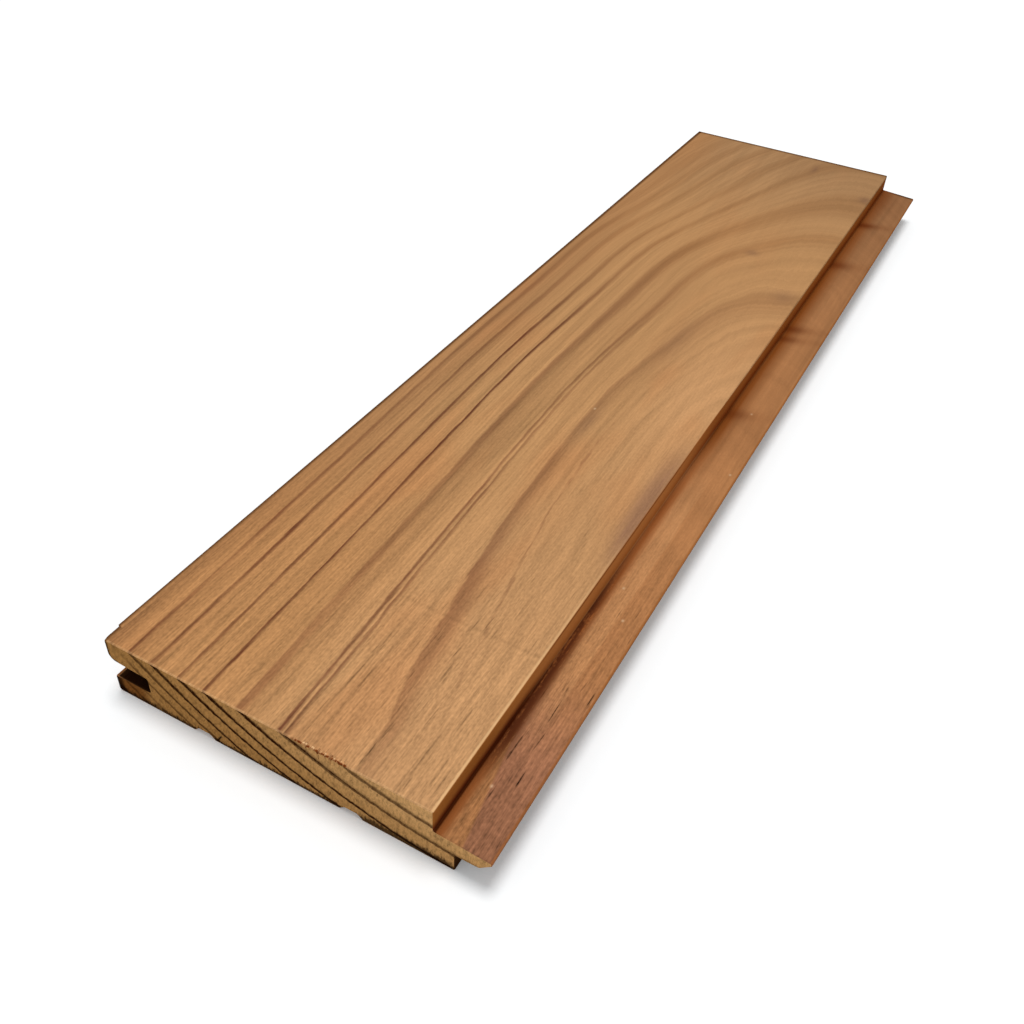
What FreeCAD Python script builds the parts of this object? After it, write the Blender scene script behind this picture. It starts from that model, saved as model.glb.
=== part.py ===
import FreeCAD
import Part
import math
import os

# Tongue and groove cladding board, milled from one length of softwood.
# It lies face up on its back: X runs across it from the groove edge to the tongue, Y along the
# grain, Z up. The origin is the middle of the back's outline, in the plane that the back lies in.
# All sizes are in millimetres and degrees.

# Stock
LENGTH = 437.0
THICKNESS = 20.0

# Face and joint, read across the board
FACE_WIDTH = 104.0
SHADOW_GAP = 4.5
LIP_SETBACK = 1.5
TONGUE_LENGTH = 10.0
TONGUE_SEAT = 6.6
TONGUE_THICKNESS = 5.5
TONGUE_TOP_FALL = 3.2
TONGUE_UNDER_RISE = 1.5
TIP_FLAT = 1.3

# Play between a tongue and the groove of the next board
GROOVE_CLEARANCE = 0.4
GROOVE_END_PLAY = 2.7

# Relief grooves in the back
RELIEF_COUNT = 2
RELIEF_SPACING = 47.4
RELIEF_WIDTH = 7.0
RELIEF_DEPTH = 1.6
RELIEF_FLANK = 45.0

# Rounds of the cutters
NOSE_TOP_ROUND = 0.8
NOSE_UNDER_ROUND = 2.6
LIP_TOP_ROUND = 0.8
LIP_BACK_ROUND = 1.0
GROOVE_ROOT_ROUND = 0.6
SHOULDER_ARRIS = 0.4
TONGUE_ROOT_ROUND = 0.4
HEEL_ARRIS = 0.5
TIP_TOP_ROUND = 0.5
TIP_BEVEL_ROUND = 1.2
RELIEF_ROOT_ROUND = 1.2
RELIEF_ARRIS = 0.3


def rounded_outline(corners):
    """Closed wire in the XZ plane through (x, z, round) corners, each turned by a tangent arc.

    A round gives way where its two sides are too short to hold it.
    """
    points = [FreeCAD.Vector(x, 0, z) for x, z, round_radius in corners]
    count = len(points)
    arcs = []
    for index, (x, z, round_radius) in enumerate(corners):
        corner = points[index]
        back = points[index - 1] - corner
        ahead = points[(index + 1) % count] - corner
        half_angle = back.getAngle(ahead) / 2
        room = 0.48 * min(back.Length, ahead.Length)
        radius = min(round_radius, room * math.tan(half_angle))
        back.normalize()
        ahead.normalize()
        reach = radius / math.tan(half_angle)
        bisector = back + ahead
        bisector.normalize()
        crown = corner + bisector * (radius / math.sin(half_angle) - radius)
        arcs.append((corner + back * reach, crown, corner + ahead * reach))
    edges = []
    for index, (start, crown, end) in enumerate(arcs):
        edges.append(Part.Arc(start, crown, end).toShape())
        edges.append(Part.LineSegment(end, arcs[(index + 1) % count][0]).toShape())
    return Part.Wire(edges)


# Places across the board, from the nose of the upper lip to the tip of the tongue.
# The next board's lower lip butts on this board's heel, which sets the shadow gap on the face.
nose_to_heel = FACE_WIDTH + SHADOW_GAP + LIP_SETBACK
nose = -(nose_to_heel + TONGUE_LENGTH) / 2
lip_end = nose + LIP_SETBACK
shoulder = nose + FACE_WIDTH
heel = nose + nose_to_heel
tip = heel + TONGUE_LENGTH
groove_back = lip_end + TONGUE_LENGTH + GROOVE_END_PLAY


def tongue_top(x):
    """Height of the tongue's top face, which sheds water away from the shoulder."""
    return TONGUE_SEAT + TONGUE_THICKNESS - (x - heel) * math.tan(math.radians(TONGUE_TOP_FALL))


def tongue_under(x):
    """Height of the tongue's underside, which rises a little towards the tip."""
    return TONGUE_SEAT + (x - heel) * math.tan(math.radians(TONGUE_UNDER_RISE))


def groove_top(x):
    """Underside of the upper lip: the next board's tongue, moved here, plus its play."""
    return tongue_top(x + heel - lip_end) + GROOVE_CLEARANCE


def groove_floor(x):
    """Top of the lower lip, under the next board's tongue by the same play."""
    return tongue_under(x + heel - lip_end) - GROOVE_CLEARANCE


# The tongue is bevelled from below, down to a narrow flat at its tip
tip_top = tongue_top(tip)
bevel = tip_top - TIP_FLAT - tongue_under(tip)

# Relief grooves with sloping sides, evenly spaced about the middle of the flat back
back_middle = (lip_end + heel) / 2
half_mouth = RELIEF_WIDTH / 2
half_floor = half_mouth - RELIEF_DEPTH / math.tan(math.radians(RELIEF_FLANK))
relief = []
for index in range(RELIEF_COUNT):
    middle = back_middle + (index - (RELIEF_COUNT - 1) / 2) * RELIEF_SPACING
    relief += [
        (middle - half_mouth, 0.0, RELIEF_ARRIS),
        (middle - half_floor, RELIEF_DEPTH, RELIEF_ROOT_ROUND),
        (middle + half_floor, RELIEF_DEPTH, RELIEF_ROOT_ROUND),
        (middle + half_mouth, 0.0, RELIEF_ARRIS),
    ]

# Section of the board, from the back of the lower lip round by the tongue and the face
lower_lip = [(lip_end, 0.0, LIP_BACK_ROUND)]
tongue = [
    (heel, 0.0, HEEL_ARRIS),
    (heel, tongue_under(heel), TONGUE_ROOT_ROUND),
    (tip - bevel, tongue_under(tip - bevel), TIP_BEVEL_ROUND),
    (tip, tip_top - TIP_FLAT, TIP_BEVEL_ROUND),
    (tip, tip_top, TIP_TOP_ROUND),
    (shoulder, tongue_top(shoulder), TONGUE_ROOT_ROUND),
]
face = [
    (shoulder, THICKNESS, SHOULDER_ARRIS),
    (nose, THICKNESS, NOSE_TOP_ROUND),
]
groove = [
    (nose, groove_top(nose), NOSE_UNDER_ROUND),
    (groove_back, groove_top(groove_back), GROOVE_ROOT_ROUND),
    (groove_back, groove_floor(groove_back), GROOVE_ROOT_ROUND),
    (lip_end, groove_floor(lip_end), LIP_TOP_ROUND),
]
section = Part.Face(rounded_outline(lower_lip + relief + tongue + face + groove))

# The section is run the whole length, and both ends are sawn square
board = section.extrude(FreeCAD.Vector(0, LENGTH, 0))
board.translate(FreeCAD.Vector(0, -LENGTH / 2, 0))

os.makedirs("parts", exist_ok=True)
board.exportStep("parts/board.step")
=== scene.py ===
import math

import bmesh
import bpy
from mathutils import Matrix, Vector


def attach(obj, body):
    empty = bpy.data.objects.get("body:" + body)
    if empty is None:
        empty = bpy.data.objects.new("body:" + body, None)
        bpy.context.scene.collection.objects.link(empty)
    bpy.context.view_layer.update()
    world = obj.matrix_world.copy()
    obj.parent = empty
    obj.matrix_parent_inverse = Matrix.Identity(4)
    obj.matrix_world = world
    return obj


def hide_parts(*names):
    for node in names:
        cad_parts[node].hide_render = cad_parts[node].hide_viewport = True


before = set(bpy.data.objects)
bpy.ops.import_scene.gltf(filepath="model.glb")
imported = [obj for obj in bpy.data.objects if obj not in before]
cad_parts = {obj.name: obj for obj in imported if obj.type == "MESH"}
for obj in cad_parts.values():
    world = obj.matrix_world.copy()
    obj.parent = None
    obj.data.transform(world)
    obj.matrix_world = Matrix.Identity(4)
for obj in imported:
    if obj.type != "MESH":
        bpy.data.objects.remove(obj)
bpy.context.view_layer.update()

# The board is one length of heat-treated softwood cladding. A moulder planes the face and cuts a
# tongue along one edge, a groove along the other and two relief grooves in the back, and a saw
# squares both ends. Nothing is fixed to it: it is one solid stick, lying on its back.
MM = 0.001
LENGTH = 437.0
NEAR_END = -LENGTH / 2
FAR_END = LENGTH / 2
THICKNESS = 20.0
NOSE = -60.0
LIP_END = -58.5
GROOVE_BACK = -45.8
SHOULDER = 44.0
HEEL = 50.0
TIP = 60.0
TONGUE_SEAT = 6.6
TONGUE_THICKNESS = 5.5
TONGUE_TOP_SLOPE = math.tan(math.radians(3.2))
TONGUE_UNDER_SLOPE = math.tan(math.radians(1.5))
TIP_FLAT = 1.3
GROOVE_PLAY = 0.4
RELIEF_MIDDLES = (-27.95, 19.45)
RELIEF_HALF_MOUTH = 3.5
RELIEF_HALF_FLOOR = 1.9
RELIEF_DEPTH = 1.6
END_EASING = 0.25


def tongue_top(x):
    """Height of the tongue's weathered top, which falls away from the shoulder."""
    return TONGUE_SEAT + TONGUE_THICKNESS - (x - HEEL) * TONGUE_TOP_SLOPE


def tongue_under(x):
    """Height of the tongue's underside, which rises towards its tip."""
    return TONGUE_SEAT + (x - HEEL) * TONGUE_UNDER_SLOPE


def groove_top(x):
    """Underside of the upper lip, over the next board's tongue."""
    return tongue_top(x + HEEL - LIP_END) + GROOVE_PLAY


def groove_floor(x):
    """Top of the lower lip, under the next board's tongue."""
    return tongue_under(x + HEEL - LIP_END) - GROOVE_PLAY


tip_top = tongue_top(TIP)
bevel_start = TIP - (tip_top - TIP_FLAT - tongue_under(TIP))

# Corners of the moulded section as the cutters leave them: across, up, and the cutter's round
section = [(LIP_END, 0.0, 1.0)]
for middle in RELIEF_MIDDLES:
    section.append((middle - RELIEF_HALF_MOUTH, 0.0, 0.3))
    section.append((middle - RELIEF_HALF_FLOOR, RELIEF_DEPTH, 1.2))
    section.append((middle + RELIEF_HALF_FLOOR, RELIEF_DEPTH, 1.2))
    section.append((middle + RELIEF_HALF_MOUTH, 0.0, 0.3))
section.append((HEEL, 0.0, 0.5))
section.append((HEEL, tongue_under(HEEL), 0.4))
section.append((bevel_start, tongue_under(bevel_start), 1.2))
section.append((TIP, tip_top - TIP_FLAT, 1.2))
section.append((TIP, tip_top, 0.5))
section.append((SHOULDER, tongue_top(SHOULDER), 0.4))
section.append((SHOULDER, THICKNESS, 0.4))
section.append((NOSE, THICKNESS, 0.8))
section.append((NOSE, groove_top(NOSE), 2.6))
section.append((GROOVE_BACK, groove_top(GROOVE_BACK), 0.6))
section.append((GROOVE_BACK, groove_floor(GROOVE_BACK), 0.6))
section.append((LIP_END, groove_floor(LIP_END), 0.8))

# The section is drawn corner by corner at the near end, as an outline that is then filled
bpy.ops.object.select_all(action="DESELECT")
bpy.ops.mesh.primitive_plane_add(size=MM)
board = bpy.context.active_object
board.name = "moulded_board"
bpy.ops.object.mode_set(mode="EDIT")
bpy.ops.mesh.select_mode(type="VERT")
bpy.ops.mesh.merge(type="CENTER")
drawn_y = NEAR_END + END_EASING
pen = Vector((0, 0, 0))
for number, (x, z, cutter_round) in enumerate(section):
    corner = Vector((x, drawn_y, z)) * MM
    if number == 0:
        bpy.ops.transform.translate(value=corner - pen)
    else:
        bpy.ops.mesh.extrude_region_move(TRANSFORM_OT_translate={"value": corner - pen})
    pen = corner
bpy.ops.mesh.select_all(action="SELECT")
bpy.ops.mesh.edge_face_add()


def pick(kind, rule):
    """Select the board's vertices or faces that the rule says yes to, and nothing else."""
    bpy.ops.mesh.select_mode(type=kind)
    bpy.ops.mesh.select_all(action="DESELECT")
    shape = bmesh.from_edit_mesh(board.data)
    for item in shape.verts if kind == "VERT" else shape.faces:
        if rule(item):
            item.select_set(True)
    bmesh.update_edit_mesh(board.data)


# Each corner takes the round of the cutter that made it
for number, (x, z, cutter_round) in enumerate(section):
    corner = Vector((x, drawn_y, z)) * MM
    last = Vector((section[number - 1][0], section[number - 1][1]))
    after = section[(number + 1) % len(section)]
    ahead = Vector((after[0], after[1]))
    half_turn = (last - Vector((x, z))).angle(ahead - Vector((x, z))) / 2
    reach = cutter_round / math.tan(half_turn)
    pick("VERT", lambda vertex: (vertex.co - corner).length < 0.02 * MM)
    bpy.ops.mesh.bevel(
        offset_type="OFFSET",
        offset=reach * MM,
        segments=2 + round(cutter_round * 3),
        profile=0.5,
        affect="VERTICES",
    )

# The section is run the whole length, and the saw's edges at both ends are eased
bpy.ops.mesh.select_mode(type="FACE")
bpy.ops.mesh.select_all(action="SELECT")
run = LENGTH - 2 * END_EASING
bpy.ops.mesh.extrude_region_move(TRANSFORM_OT_translate={"value": (0, run * MM, 0)})
bpy.ops.mesh.select_all(action="SELECT")
bpy.ops.mesh.normals_make_consistent(inside=False)
for way in (-1, 1):
    pick("FACE", lambda face: face.normal.y * way > 0.9)
    bpy.ops.mesh.inset(thickness=END_EASING * MM, depth=END_EASING * MM)


def score(place, across, where=lambda face: True):
    """Cut the faces that pass the rule along a plane, so that they can be worked on there."""
    pick("FACE", where)
    bpy.ops.mesh.bisect(plane_co=Vector(place) * MM, plane_no=across)


# Cross cuts, close together by the ends where the wood is worn and chipped
CUT_DEPTHS = (0.6, 1.2, 2.0, 3.0, 4.4, 5.8, 6.2, 8.0, 11.5, 16.0, 22.0)
for depth in CUT_DEPTHS:
    score((0, NEAR_END + depth, 0), (0, 1, 0))
    score((0, FAR_END - depth, 0), (0, 1, 0))
for y in range(-180, 200, 30):
    score((0, y, 0), (0, 1, 0))


def by_the_ends(face):
    """True for faces between an end and the last of its cuts."""
    return abs(face.calc_center_median().y) > (FAR_END - CUT_DEPTHS[-1]) * MM


for x in range(-57, 60, 2):
    score((x + 0.13, 0, 0), (1, 0, 0), by_the_ends)
for z in range(1, 20, 2):
    score((0, 0, z + 0.17), (0, 0, 1), by_the_ends)

# Fine cuts where the saw tore a row of small chips out of the near end's top arris
CHIPS_FROM = 4.5
CHIPS_TO = 22.5
CHIP_STEP = 0.4


def by_the_chips(face):
    """True for faces at the chipped stretch of the near top arris."""
    x, y, z = face.calc_center_median() / MM
    return CHIPS_FROM < x < CHIPS_TO and y < NEAR_END + 2.0 and z > 17.0


for number in range(round((CHIPS_TO - CHIPS_FROM) / CHIP_STEP)):
    score((CHIPS_FROM + number * CHIP_STEP + 0.05, 0, 0), (1, 0, 0), by_the_chips)

# The nose is rubbed down for a few millimetres at the near end, with a small step where it starts,
# and each chip takes a bite out of the arris
WEAR_STEP = NEAR_END + 6.0
WEAR_ROOT = -54.0
WEAR_SPREAD = 4.5
SIDE_WEAR = 0.55
CORNER_WEAR = 0.4
CORNER_RUN = 1.5
CHIP_DROP = 0.4
CHIP_SETBACK = 0.3
shape = bmesh.from_edit_mesh(board.data)
for vertex in shape.verts:
    x, y, z = vertex.co / MM
    if x < WEAR_ROOT and z > THICKNESS / 2 and y < WEAR_STEP:
        worn = SIDE_WEAR
        if y < NEAR_END + CORNER_RUN:
            worn = worn + CORNER_WEAR * (NEAR_END + CORNER_RUN - y) / CORNER_RUN
        share = min(1.0, (WEAR_ROOT - x) / WEAR_SPREAD)
        vertex.co.x += worn * share * MM
    if CHIPS_FROM < x < CHIPS_TO and y < NEAR_END + 0.7 and z > 19.0:
        bite = max(0.0, math.sin(5.3 * x) + 0.7 * math.sin(12.1 * x + 1.0))
        bite = bite * math.sin(math.pi * (x - CHIPS_FROM) / (CHIPS_TO - CHIPS_FROM))
        vertex.co.z -= CHIP_DROP * bite * MM
        vertex.co.y += CHIP_SETBACK * bite * MM
bmesh.update_edit_mesh(board.data)
bpy.ops.object.mode_set(mode="OBJECT")
bpy.ops.object.shade_smooth_by_angle(angle=math.radians(32))


class Wire:
    """A value, vector or colour on its way through the wood's nodes, which sums can be done on."""

    def __init__(self, tree, socket):
        self.tree = tree
        self.socket = socket

    def node(self, kind, settings, sockets, out=0):
        """Any node: its settings are set first, then its sockets are given values or links."""
        made = self.tree.nodes.new(kind)
        for name, value in settings.items():
            setattr(made, name, value)
        for name, value in sockets.items():
            if isinstance(value, Wire):
                self.tree.links.new(value.socket, made.inputs[name])
            else:
                made.inputs[name].default_value = value
        return Wire(self.tree, made.outputs[out])

    def into(self, shader, name):
        """Link this wire to a socket of a node that is there already."""
        self.tree.links.new(self.socket, shader.inputs[name])

    def sum(self, operation, first, second):
        """Math for values, Vector Math for vectors and Mix for colours."""
        kinds = [part.socket.type for part in (first, second) if isinstance(part, Wire)]
        if "RGBA" in kinds:
            settings = {"data_type": "RGBA", "blend_type": operation, "clamp_result": False}
            return self.node("ShaderNodeMix", settings, {0: 1.0, 6: first, 7: second}, 2)
        if "VECTOR" in kinds:
            return self.node("ShaderNodeVectorMath", {"operation": operation}, {0: first, 1: second})
        return self.node("ShaderNodeMath", {"operation": operation}, {0: first, 1: second})

    def __add__(self, other):
        return self.sum("ADD", self, other)

    def __radd__(self, other):
        return self.sum("ADD", other, self)

    def __sub__(self, other):
        return self.sum("SUBTRACT", self, other)

    def __rsub__(self, other):
        return self.sum("SUBTRACT", other, self)

    def __mul__(self, other):
        return self.sum("MULTIPLY", self, other)

    def __rmul__(self, other):
        return self.sum("MULTIPLY", other, self)

    def __truediv__(self, other):
        return self.sum("DIVIDE", self, other)

    def root(self):
        return self.node("ShaderNodeMath", {"operation": "SQRT"}, {0: self})

    def at_least(self, floor):
        return self.node("ShaderNodeMath", {"operation": "MAXIMUM"}, {0: self, 1: floor})

    def rise(self, low, high):
        """0 below low and 1 above high, with a soft step between."""
        settings = {"interpolation_type": "SMOOTHSTEP"}
        sockets = {"Value": self, "From Min": low, "From Max": high}
        return self.node("ShaderNodeMapRange", settings, sockets)

    def band(self, start, soft_start, soft_end, end):
        """0, up to 1 between the two soft places, and back to 0."""
        return self.rise(start, soft_start) * (1 - self.rise(soft_end, end))

    def bell(self, middle, width):
        """1 at the middle, falling away on both sides."""
        off = (self - middle) / width
        return self.node("ShaderNodeMath", {"operation": "EXPONENT"}, {0: -1 * off * off})

    def between(self, first, second):
        """One colour going over to another by this share from 0 to 1."""
        return self.node("ShaderNodeMix", {"data_type": "RGBA"}, {0: self, 6: first, 7: second}, 2)

    def toward(self, other, share):
        """This colour, gone over to another by a share from 0 to 1."""
        return share.between(self, other)

    def darker(self, share):
        """This colour with a share of its light taken away, or given where the share is negative."""
        left = 1 - share
        return self * left.node("ShaderNodeCombineColor", {}, {0: left, 1: left, 2: left})


def colour(red, green, blue):
    """A colour as the eye reads it, 0 to 255, made the light that Blender counts in."""
    light = []
    for level in (red, green, blue):
        part = level / 255
        light.append(part / 12.92 if part < 0.04045 else ((part + 0.055) / 1.055) ** 2.4)
    return (*light, 1.0)


def wood(name):
    """A new material with its shader, and a wire that starts at the wood's own coordinates."""
    material = bpy.data.materials.new(name)
    material.use_nodes = True
    tree = material.node_tree
    place = Wire(tree, None).node("ShaderNodeTexCoord", {}, {}, "Object")
    return material, tree.nodes["Principled BSDF"], place


def millimetres(place):
    """Across, along and up, in millimetres."""
    scaled = place * (1000, 1000, 1000)
    return [place.node("ShaderNodeSeparateXYZ", {}, {0: scaled}, way) for way in "XYZ"]


def mottle(place, across, along, up, detail=2.0, rough=0.5):
    """Noise about 0, mostly within a quarter, with so many spots to the millimetre each way."""
    stretched = place * (1000 * across, 1000 * along, 1000 * up)
    sockets = {"Vector": stretched, "Scale": 1.0, "Detail": detail, "Roughness": rough}
    return place.node("ShaderNodeTexNoise", {"noise_dimensions": "3D"}, sockets) - 0.5


# The tree's growth rings: the pith runs above the board and a little askew, so that the rings
# come through the face as long lines that curve off to the tongue edge at the far end.
BOW_MIDDLE = 22.5
RING_REACH = 150.0

# Where the grain swings off that course on the face: how far, its middle and half length along
# the board, and from where to where it comes in across the board
SWINGS = (
    (0.75, 163, 24, -32, -18),
    (0.8, 75, 32, 4, 20),
    (-1.8, 222, 22, -15, 12),
    (0.3, -148, 30, 6, 18),
    (-0.4, -182, 15, 6, 18),
    (-1.0, -222, 22, 24, 34),
    (-0.9, 30, 26, 8, 20),
    (1.3, 70, 20, 24, 40),
)


def growth(place, sawn):
    """Across, along and up, the distance from the pith, and the way round it, in millimetres."""
    x, y, z = millimetres(place)
    bow = y - BOW_MIDDLE
    pith_x = 56.82 - 0.0549 * y - 0.000169 * y * y
    pith_z = 132.2 + 0.0738 * bow + 0.121 * (bow * bow + 131.5 ** 2).root()
    away = pith_x - x
    over = pith_z - z
    radius = (away * away + over * over).root()
    # a kink in the grain past the middle, and the inner rings' own bow under the face
    wave = place.node("ShaderNodeMath", {"operation": "SINE"}, {0: (y - 102) * (-2 * math.pi / 128)})
    ring = radius - 0.9 * y.bell(102, 106) * wave
    if not sawn:
        bend = (y + 75) / 100
        inner = (1.2 - 1.98 * bend * bend).at_least(-2.0)
        ring = ring - inner * (1 - radius.rise(135, 141)) * z.rise(14, 19.5)
        for swing, middle, half_length, start, full in SWINGS:
            ring = ring + swing * y.bell(middle, half_length) * x.rise(start, full)
        # the tongue lies lower in the tree, where the rings wander on their own
        swell = 4.3 * y.rise(-150, -10) + 2.2 * y.bell(50, 38) - 2.0 * y.rise(70, 170) - 3.5
        ring = ring + swell * x.rise(43, 45) * (1 - z.rise(12.6, 14))
    wander = mottle(place, 0.05, 0.012, 0.05, 1.0)
    shiver = mottle(place, 0.7, 0.07, 0.7, 2.0, 0.6)
    turn = place.node("ShaderNodeMath", {"operation": "ARCTAN2"}, {0: away, 1: over})
    return x, y, z, ring + 0.4 * wander + 0.7 * shiver, turn * RING_REACH


# Late wood of each year, outermost first: where its hard outer edge stands, how fast that edge
# rises, how wide the dark wood is and how slowly it fades inwards; then how dark it shows at four
# places along the planed face, from the near end to the far one, and how dark on a sawn end.
YEARS = (
    (187.2, 0.6, 0.3, 0.8, (0.1, 0.1, 0.1, 0.1), 0.5),
    (183.0, 0.6, 0.3, 0.8, (0.1, 0.1, 0.1, 0.1), 0.45),
    (178.8, 0.6, 0.3, 0.8, (0.1, 0.1, 0.1, 0.1), 0.4),
    (173.7, 0.6, 0.3, 0.8, (0.1, 0.1, 0.1, 0.2), 0.6),
    (169.3, 0.4, 0.2, 0.9, (0.48, 0.55, 0.36, 0.36), 0.75),
    (164.35, 0.35, 0.15, 0.8, (0.72, 0.75, 0.5, 0.4), 0.95),
    (158.75, 0.25, 0.12, 0.7, (0.58, 0.78, 0.93, 0.45), 1.0),
    (153.97, 0.22, 0.12, 0.6, (0.95, 0.88, 0.98, 0.5), 1.0),
    (148.1, 0.5, 0.4, 1.2, (0.48, 0.34, 0.4, 0.55), 1.0),
    (141.9, 0.25, 0.1, 0.45, (0.72, 0.74, 0.58, 0.36), 0.75),
    (141.05, 0.25, 0.1, 0.45, (0.72, 0.58, 0.45, 0.28), 0.3),
    (135.2, 0.35, 0.15, 1.9, (0.25, 0.47, 0.25, 0.26), 0.75),
)


def late_wood(ring, y, z, sawn):
    """How dark the wood is by its place in the year, from 0 to 1."""
    if sawn:
        spread = 0.8 + 0.45 * z.rise(9, 19)
    else:
        spread = 1 + 0.7 * y.rise(-50, 40) + 0.5 * y.rise(30, 180)
    steps = (y.rise(-205, -165), y.rise(-130, -70), y.rise(-30, 50))
    dark = 0.0
    for edge, rim, core, fade, along_face, at_end in YEARS:
        from_edge = (ring - edge) / spread
        if sawn:
            line = from_edge.band(-1.55, -0.6, 0.05, 0.45) * at_end
        else:
            strength = along_face[0]
            for step, before, after in zip(steps, along_face, along_face[1:]):
                strength = strength + (after - before) * step
            line = from_edge.rise(-core - fade, -core) * strength
            if fade > 0.7:
                line = line + (0.1 - 0.06 * steps[2]) * from_edge.rise(-5.5, -core)
            line = line * (1 - from_edge.rise(0, rim + 0.4 * steps[2]))
        dark = line + dark
    return dark


# The planed faces: dry, tan wood with fine fibres along the grain, dark late wood lines that soften
# towards the far end, and painted highlights along the arrises. The tongue is cut deeper and keeps more
# of the kiln's brown; the groove, the tongue's underside and its corner under the shoulder are painted
# dark as shade.
planed, planed_shader, place = wood("planed_wood")
x, y, z, ring, _ = growth(place, False)
fibre = mottle(place, 0.8, 0.02, 0.8, 3.0, 0.7)
fine_fibre = mottle(place, 1.9, 0.1, 1.9, 2.0, 0.6)
pore = mottle(place, 1.5, 0.7, 1.5, 1.0)
blotch = mottle(place, 0.045, 0.014, 0.045, 2.0, 0.5)
by_ring = place.node("ShaderNodeCombineXYZ", {}, {0: ring * 1.6, 1: y * 0.01, 2: 0.0})
sockets = {"Vector": by_ring, "Scale": 1.0, "Detail": 3.0, "Roughness": 0.6}
year_streak = place.node("ShaderNodeTexNoise", {"noise_dimensions": "2D"}, sockets) - 0.5
crisp = 1 - 0.5 * y.rise(-200, -90) - 0.36 * y.rise(-90, 60)
soft_streak = mottle(place, 0.28, 0.008, 0.28, 2.0, 0.6)
on_tongue = x.rise(43.9, 44.3) * (1 - z.rise(12.8, 13.4))
on_face = z.rise(19.4, 19.8)

# wood between the lines, in broad tones of the wood; the darkening towards the far end is partly
# painted light fall-off
near_right = (1 - y.rise(-200, -40)) * x.rise(-34, 34)
mid_right = y.bell(-25, 60) * x.rise(8, 34)
tan = (0.68 * near_right + 0.65 * mid_right).between(colour(180, 135, 90), colour(199, 150, 104))
tan = tan.toward(colour(166, 127, 88), y.rise(90, 215))
tan = tan.toward(colour(150, 112, 76), 0.4 * y.rise(170, 214) * x.rise(-25, 0))
tan = tan.toward(colour(169, 124, 82), 1 - x.rise(-56, -36))
near_left = (1 - y.rise(-170, -70)) * (1 - x.rise(-25, 5))
tan = tan.toward(colour(184, 130, 81), 0.5 * near_left)
tan = tan.toward(colour(184, 126, 80), blotch.rise(0.0, 0.22) * (0.4 - 0.3 * y.rise(20, 90)))
heart_edge = 52.0 - 0.15 * (y - NEAR_END) - x
purple = (1 - heart_edge.rise(-0.5, 0.5)) * (1 - y.rise(-194, -150))
brown = y.rise(-60, 230).between(colour(171, 118, 75), colour(144, 101, 67))
wavy = x + 2.5 * mottle(place, 0.1, 0.02, 0.1, 2.0)
pale_band = wavy.band(46.9, 48.6, 52.2, 53.2) * y.band(-200, -165, -85, -45)
brown = brown.toward(colour(158, 108, 69), 0.6 * y.bell(-148, 34))
brown = brown.toward(colour(184, 132, 87), 0.75 * pale_band)
brown = brown.toward(colour(152, 103, 76), 0.9 * purple)
tan = tan.toward(brown, on_tongue)

# late wood lines, broken up by the fibres that they are made of
patchy = 0.92 + crisp * (1.8 * mottle(place, 0.25, 0.03, 0.25, 2.0) + 1.3 * fibre)
dark = late_wood(ring, y, z, False) * patchy * (1 - 0.75 * on_tongue) * (1 - 0.35 * y.rise(82, 104))
line_tint = y.rise(-10, 120).between(colour(147, 118, 126), colour(188, 166, 146))
lined = tan.toward(tan * line_tint, dark)
thin = (ring - 131.35).band(-0.2, -0.05, 0, 0.15) * y.band(-195, -168, -75, -35) * on_face
broken = 0.4 + 0.6 * mottle(place, 0.2, 0.12, 0.2, 1.0).rise(-0.1, 0.1)
lined = lined.toward(tan * line_tint, 0.36 * thin * broken)
shade = (126.2 - ring).rise(-0.5, 1.0) * y.band(-138, -104, -84, -46) * x.rise(35, 42.5)
lined = lined.toward(colour(140, 101, 78), (0.75 + fibre) * shade * (1 - on_tongue))

# purple grey spots where a ring leaves the face: across, along, half width, half length, how dark
SPOTS = (
    (42.0, 181.0, 3.0, 4.0, 0.55),
    (10.0, 204.0, 1.5, 6.0, 0.45),
    (13.5, 95.0, 3.0, 3.0, 0.4),
    (38.0, 64.0, 5.0, 6.0, 0.3),
    (13.0, 8.0, 4.0, 18.0, 0.15),
    (7.5, -60.0, 2.0, 9.0, 0.3),
)
for spot_x, spot_y, half_width, half_length, share in SPOTS:
    spot = x.bell(spot_x, half_width) * y.bell(spot_y, half_length) * on_face
    lined = lined.toward(colour(116, 84, 66), share * spot)

# fibres, pores and short dark ticks where a vessel of resin is cut open: across, along, half length
TICKS = (
    (21.6, -207, 9), (33.7, -205, 10), (39.2, -208, 6), (41.4, -211, 5), (30.7, -151, 4),
    (28.1, -127, 4), (32.0, -113, 3), (21.5, -95, 4), (28.5, -163, 4), (36.5, -190, 5),
    (4.6, -190, 30), (7.6, -195, 26), (3.4, -150, 20), (24.5, -180, 5), (17.5, -152, 5),
    (12.5, -178, 6), (19.3, -190.5, 5), (20.6, -198, 4), (16.8, -178, 7), (21.7, -214, 4),
)
drawn = 0.0
for tick_x, tick_y, half_length in TICKS:
    drawn = x.bell(tick_x, 0.3) * y.bell(tick_y, half_length) + drawn
ticks_here = 0.2 + x.rise(-10, 8) * (1 - y.rise(-150, -40)) + 0.4 * on_tongue * (1 - y.rise(-160, -110))
strewn = mottle(place, 1.2, 0.09, 1.2, 1.0).rise(0.17, 0.29) * ticks_here * 0.6
tick = strewn + drawn * fine_fibre.rise(-0.12, 0.1) * on_face
streaks = crisp * (0.6 * fibre + 0.75 * fine_fibre + 0.6 * pore - 0.55 * tick) + 0.4 * year_streak
soft_here = (0.75 - 0.5 * x.rise(-5, 18)) * (1 - 0.6 * y.rise(-60, 60))
streaks = (streaks + soft_here * soft_streak) * (1 + on_tongue * (0.35 - 0.6 * y.rise(-130, -60)))
fibred = lined.darker(-1 * streaks)
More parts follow.
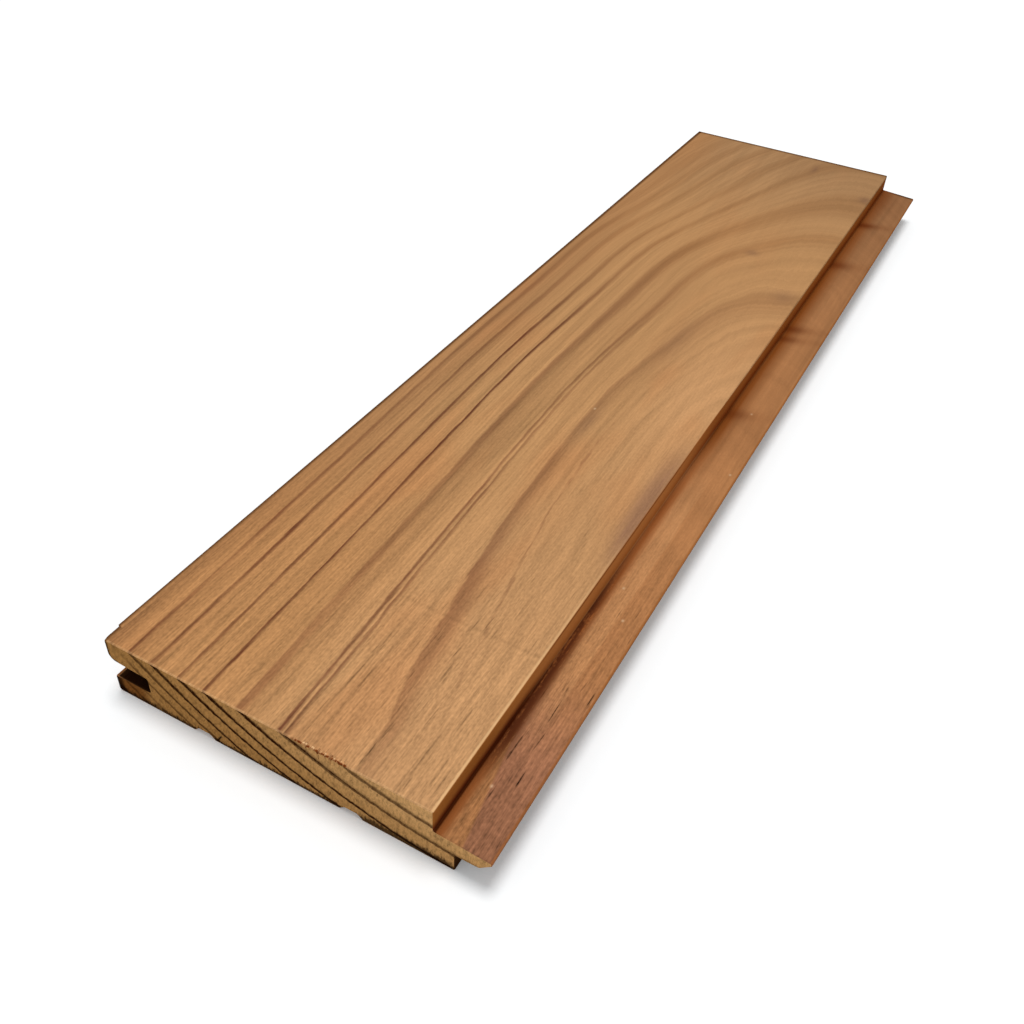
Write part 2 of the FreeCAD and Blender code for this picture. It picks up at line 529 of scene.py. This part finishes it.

# marks of the planer and of the saw's chips, painted highlights along the arrises, painted shade along
# the nose's edge, and a darker line along the far edge
planer_mark = (y.bell(-163.8, 0.6) - 0.4 * y.bell(-165.2, 0.6)) * x.rise(-3, 2) * on_face
marked = fibred.darker((0.1 + 0.3 * fibre) * planer_mark)
# painted highlights: a pale line along the shoulder's top arris and along the near end's top arris,
# where the rounded edges catch the light
arris_highlight = x.band(43.0, 43.5, 44.2, 44.5) * z.rise(19.6, 19.9) * (1 - y.rise(-190, -90))
marked = marked.toward(colour(238, 192, 138), 0.6 * arris_highlight)
from_end = y - NEAR_END
near_arris_highlight = (1 - from_end.rise(0.3, 0.7)) * on_face
marked = marked.toward(colour(228, 182, 128), (0.25 + 1.5 * fibre) * near_arris_highlight)
nick = mottle(place, 1.3, 0.3, 1.3, 1.0)
chipped = x.band(1.0, 6.0, 17.5, 22.0) * (1 - from_end.rise(0.3, 0.65))
marked = marked.toward(colour(116, 56, 20), chipped * (0.35 + nick.rise(-0.06, 0.1)))
lifted = x.band(2.0, 6.0, 17.0, 20.0) * from_end.band(0.3, 0.5, 0.7, 1.0) * on_face
marked = marked.toward(colour(238, 194, 144), lifted * (-1 * nick).rise(0.02, 0.12))
# painted shade: the nose's rounded edge is dark where it turns away from the light, and a darker line
# runs along the far edge
rim_start = x - 0.002 * from_end - 0.8 * (1 - y.rise(WEAR_STEP - 0.5, WEAR_STEP))
rim = (1 - rim_start.rise(-59.5, -58.3)) * z.rise(17.6, 19.0)
far_rim = y.rise(FAR_END - 3.0, FAR_END - 0.8)
marked = marked.toward(colour(78, 46, 20), 0.85 * rim + 0.75 * far_rim + 0.2 * far_rim * on_tongue)

# flecks of bare white fibre
FLECKS = ((5.8, -51.8), (49.0, -120.5), (54.2, -132.5), (49.5, -200.5), (52.0, -13.0), (57.5, -51.0))
fleck = 0.0
for fleck_x, fleck_y in FLECKS:
    fleck = x.bell(fleck_x, 0.35) * y.bell(fleck_y, 0.5) + fleck
marked = marked.toward(colour(236, 206, 166), 0.45 * fleck)

# the tongue: long streaks, painted shade in the corner under the shoulder, a darker brushed streak
# there towards the near end, and dark bands across where a ring runs out
stripe = mottle(place, 0.32, 0.006, 0.32, 2.0, 0.6)
aged = marked.darker(-0.55 * stripe * on_tongue)
toward_far = y.rise(-80, -25)
near_corner_shade = (1 - x.rise(45.4, 47.9)) * (1 - toward_far)
far_corner_shade = (1 - x.rise(44.5, 52.0)) * toward_far
with_tongue_shade = aged.toward(colour(142, 82, 41), (0.95 + fibre) * near_corner_shade * on_tongue)
with_tongue_shade = with_tongue_shade.toward(colour(126, 69, 28), (0.95 + stripe) * far_corner_shade * on_tongue)
smudge = mottle(place, 0.6, 0.045, 0.6, 3.0, 0.65) + 0.9 * fine_fibre + 0.7 * pore
reach = x - 46.2 + 0.03 * (y + 150)
brushed = (1 - reach.rise(-1.2, 2.2)) * y.band(-206, -184, -135, -92) * on_tongue
with_tongue_shade = with_tongue_shade.toward(colour(84, 42, 22), brushed * (0.8 + 2.2 * smudge).rise(-0.1, 0.9))
# painted shade beside the shoulder towards the far end
with_tongue_shade = with_tongue_shade.toward(colour(116, 68, 38), 0.4 * y.rise(170, 205) * (1 - x.rise(46, 56)) * on_tongue)
# an orange line along the tip's edge, painted where the edge catches the light
with_tongue_shade = with_tongue_shade.toward(colour(150, 88, 40), 0.6 * x.rise(59.3, 59.7))
BANDS = ((169.0, 3.5, 0.9), (120.0, 4.5, 0.75), (53.0, 3.5, 0.75), (44.0, 3.0, 0.65), (-18.0, 4.0, 0.6))
for band_y, half_length, share in BANDS:
    bent = y - band_y - 0.4 * (x - 44)
    band = bent.bell(0, half_length) * (1 - 0.8 * x.rise(44.5, 57)) * on_tongue
    with_tongue_shade = with_tongue_shade.toward(colour(98, 44, 16), share * band)

# the shoulder's cheek over the tongue, darker towards its foot partly as painted shade, the two lips'
# outer sides, and painted shade in the tongue's root under the shoulder and on the deep faces that the
# light hardly reaches: the groove and the tongue's underside
groove_shade = x.band(-57.6, -57.1, -45, -44) * z.band(5.8, 6.3, 12.3, 12.9)
lip = (1 - x.rise(-57.9, -57.4)) * (1 - z.rise(6.4, 7.0))
under_tongue_shade = x.rise(49.3, 49.9) * (1 - z.rise(6.9, 7.6))
root = x.band(43.6, 44.0, 44.4, 44.9) * (1 - z.rise(12.6, 13.4)) * z.rise(10, 12)
nose_side = (1 - x.rise(-59.8, -59.0)) * (1 - z.rise(18.6, 19.4))
cheek = x.band(43.6, 43.85, 44.1, 44.3) * (z + 1.1 * y.rise(-40, 20)).band(12.4, 12.9, 19.75, 20.0)
# the cheek is darker towards its foot by the tongue, partly painted shade
cheek_low = y.rise(-185, -150).between(colour(92, 28, 4), colour(166, 99, 46))
cheek_low = cheek_low.toward(colour(128, 58, 15), toward_far)
cheek_high = y.rise(-200, -150).between(colour(156, 93, 38), colour(175, 109, 55))
cheek_high = cheek_high.toward(colour(146, 80, 30), toward_far)
cheeked = with_tongue_shade.toward(z.rise(12.9, 16.5).between(cheek_low, cheek_high), 0.95 * cheek)
dark_top = x.band(43.6, 43.8, 44.1, 44.3) * z.band(18.6, 19.3, 19.7, 19.95)
dark_top = dark_top * y.band(-175, -150, -75, -45)
cheeked = cheeked.toward(colour(122, 70, 34), 0.75 * dark_top)
lip_brown = z.rise(4.6, 5.6).between(colour(148, 98, 58), colour(150, 84, 34))
lipped = cheeked.toward(lip_brown, 0.8 * lip)
lipped = lipped.toward(colour(150, 100, 60), 0.7 * nose_side)
# painted shade in the tongue's root under the shoulder
with_root_shade = lipped.toward(colour(62, 18, 2), (0.9 - 0.85 * y.rise(-180, -148) + 0.3 * toward_far) * root)
# painted shade on the deep faces: the groove and the tongue's underside
with_deep_shade = with_root_shade.toward(colour(28, 6, 1), 0.96 * groove_shade + 0.9 * under_tongue_shade)
with_deep_shade.into(planed_shader, "Base Color")
sockets = {"Strength": 0.5, "Distance": 0.08 * MM, "Height": fibre + fine_fibre + pore}
place.node("ShaderNodeBump", {}, sockets).into(planed_shader, "Normal")
planed_shader.inputs["Roughness"].default_value = 0.7
planed_shader.inputs["Specular IOR Level"].default_value = 0.0

# The sawn ends: the same rings seen end on, much darker where the late wood takes up the light,
# with fine rays across the rings and the torn fibres that the saw leaves.
sawn, sawn_shader, place = wood("sawn_end")
x, y, z, ring, around = growth(place, True)
speck = mottle(place, 1.4, 0.2, 0.7, 3.0, 0.65)
ring = ring + 0.9 * mottle(place, 0.5, 0.1, 0.5, 2.0, 0.6)
clear_nose = (1 - x.rise(-53, -49)) * z.rise(11.5, 13)
dark = late_wood(ring, y, z, True) * (1 - 0.75 * clear_nose)
by_ray = place.node("ShaderNodeCombineXYZ", {}, {0: around * 0.9, 1: ring * 0.25, 2: 0.0})
sockets = {"Vector": by_ray, "Scale": 1.0, "Detail": 3.0, "Roughness": 0.7}
rays = place.node("ShaderNodeTexNoise", {"noise_dimensions": "2D"}, sockets) - 0.5
sunlit = (x + 1.2 * z).rise(-30, 80) * (0.6 + 0.4 * z.rise(6, 16))
olive = sunlit.between(colour(166, 120, 67), colour(208, 160, 104))
olive = olive.darker(-1.2 * rays - 0.9 * speck)
rough = olive.darker(0.35 * rays.rise(0.1, 0.2) + 0.3 * (-1 * speck).rise(0.1, 0.2))
arced = rough.toward(rough * colour(68, 44, 32), dark * (1.0 + 1.2 * speck))
lip = (1 - x.rise(-50, -45)) * (1 - z.rise(6, 8))
lipped = arced.toward(arced * colour(188, 166, 146), lip * (1 + speck))
# painted shade: a dark outline round the nose, and a dark band along the bottom edge that is partly
# painted shade where the end meets the floor and partly grime
nose_rim = (1 - x.rise(-58.6, -57.7)) + (1 - z.rise(12.9, 13.6)) * x.band(-61, -60, -57, -55)
shade_and_grime_top = 2.0 + x.rise(15, 30) + 0.8 * (1 - x.rise(-45, -25))
thick = 0.9 * x.band(18, 26, 46, 51)
edge = (1 - (z + 4 * speck - thick).rise(0.8, shade_and_grime_top)) + nose_rim
shaded_and_grimed = lipped.toward(colour(32, 15, 6), 0.85 * edge)
# a short crack in the end grain, painted dark as the shade inside it
crack = (x + 24.0 - 0.6 * z).bell(0, 0.35) * (1 - z.rise(3.2, 4.2))
shaded_and_grimed = shaded_and_grimed.toward(colour(26, 12, 5), crack)
shaded_and_grimed.into(sawn_shader, "Base Color")
sockets = {"Strength": 0.6, "Distance": 0.15 * MM, "Height": speck + rays}
place.node("ShaderNodeBump", {}, sockets).into(sawn_shader, "Normal")
sawn_shader.inputs["Roughness"].default_value = 0.8
sawn_shader.inputs["Specular IOR Level"].default_value = 0.0

board.data.materials.clear()
board.data.materials.append(planed)
board.data.materials.append(sawn)
for face in board.data.polygons:
    face.material_index = 1 if abs(face.normal.y) > 0.8 else 0
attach(board, "root")
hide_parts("board")

# The floor is a plain sheet of white card, which the board's back lies on. It keeps the board's
# shadow, and for the eye alone it is lifted a little, up to white.
FLOOR_WHITE = (0.88, 0.9, 0.91, 1)
FLOOR_LIFT = 0.14
bpy.ops.object.select_all(action="DESELECT")
bpy.ops.mesh.primitive_plane_add(size=12.0, location=(0, 0, -0.05 * MM))
floor = bpy.context.active_object
floor.name = "white_floor"
bpy.ops.object.transform_apply(location=True)
floor_white = bpy.data.materials.new("white_floor")
floor_white.use_nodes = True
floor_tree = floor_white.node_tree
floor_tree.nodes.remove(floor_tree.nodes["Principled BSDF"])


def seen(tree):
    """1 for what the camera sees, also in a reflection or through glass, and 0 for what only lights."""
    start = Wire(tree, None)
    camera_ray = start.node("ShaderNodeLightPath", {}, {}, "Is Camera Ray")
    glossy_ray = start.node("ShaderNodeLightPath", {}, {}, "Is Glossy Ray")
    return camera_ray + glossy_ray + start.node("ShaderNodeLightPath", {}, {}, "Is Transmission Ray")


in_sight = seen(floor_tree)
matt = in_sight.node("ShaderNodeBsdfDiffuse", {}, {"Color": FLOOR_WHITE})
lift = in_sight * FLOOR_LIFT
glow = in_sight.node("ShaderNodeEmission", {}, {"Color": (1, 1, 1, 1), "Strength": lift})
both = in_sight.node("ShaderNodeAddShader", {}, {0: matt, 1: glow})
both.into(floor_tree.nodes["Material Output"], "Surface")
floor.data.materials.append(floor_white)

# The studio: a white tent all round gives even light, and one wide soft lamp right above throws
# the short shadows close round the board.
TENT_LIGHT = 0.5
world = bpy.data.worlds.new("studio")
bpy.context.scene.world = world
world.use_nodes = True
tent = world.node_tree
level = TENT_LIGHT + (1 - TENT_LIGHT) * seen(tent)
tent.nodes["Background"].inputs["Color"].default_value = (1, 1, 1, 1)
level.into(tent.nodes["Background"], "Strength")
bpy.ops.object.light_add(type="SUN", location=(-0.1, 0.1, 1.4))
lamp = bpy.context.active_object
lamp.name = "high_lamp"
lamp.data.energy = 1.75
lamp.data.angle = math.radians(24)
toward_lamp = Vector((-0.05, 0.12, 1.0))
lamp.rotation_euler = toward_lamp.to_track_quat("Z", "Y").to_euler()

# The camera stands off the tongue's near corner, about 0.2 m above the face. It looks down along
# the board and is rolled a little.
CAMERA_PLACE = Vector((117.4, -332.92, 230.06)) * MM
CAMERA_AIM = Vector((7.927, -115.897, 20.0)) * MM
CAMERA_ROLL = math.radians(3.416)
bpy.ops.object.camera_add(location=CAMERA_PLACE)
camera = bpy.context.active_object
camera.name = "camera"
aim = (CAMERA_AIM - CAMERA_PLACE).to_track_quat("-Z", "Y").to_matrix().to_4x4()
camera.matrix_world = Matrix.Translation(CAMERA_PLACE) @ aim @ Matrix.Rotation(CAMERA_ROLL, 4, "Z")
camera.data.sensor_width = 36.0
camera.data.lens = 36.474
bpy.context.scene.camera = camera
bpy.context.scene.view_settings.view_transform = "Standard"
